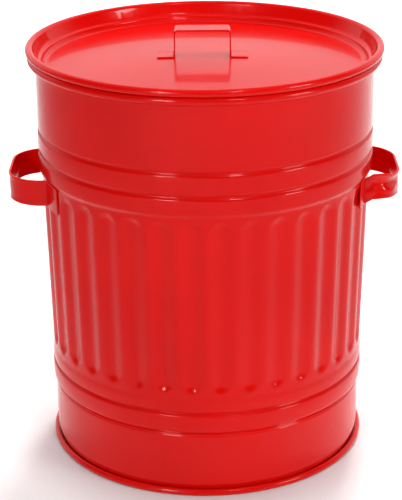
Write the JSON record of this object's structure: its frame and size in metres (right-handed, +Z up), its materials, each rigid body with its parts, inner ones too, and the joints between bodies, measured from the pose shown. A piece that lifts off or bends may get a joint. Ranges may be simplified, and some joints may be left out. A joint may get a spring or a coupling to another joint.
{
  "type": "steel dustbin",
  "caption": "Fluted sheet-steel dustbin with strap side handles, a wired mouth and foot, and a domed plug lid that lifts off by its own handle.",
  "frame": {"origin": "centre of the foot bead's underside, on the ground", "axes": "+Z up; the side handles are on +X and -X; -Y is the front, where a flute land lies"},
  "size_m": [0.5144, 0.46, 0.5635],
  "materials": {
    "red_paint": "gloss",
    "wire_steel": "satin"
  },
  "bodies": {
    "bin": {"body_shell": "red_paint", "mouth_wire": "wire_steel", "bottom_pan": "red_paint", "foot_skirt": "red_paint", "foot_wire": "wire_steel", "left_handle": "red_paint", "right_handle": "red_paint"},
    "lid": {"lid_pan": "red_paint", "lid_rim_wire": "wire_steel", "lid_handle": "red_paint"}
  },
  "joints": [
    {"name": "lid_lift", "type": "slide", "parent": "bin", "child": "lid", "axis": [0, 0, 1], "range_m": [0, 0.25]}
  ]
}
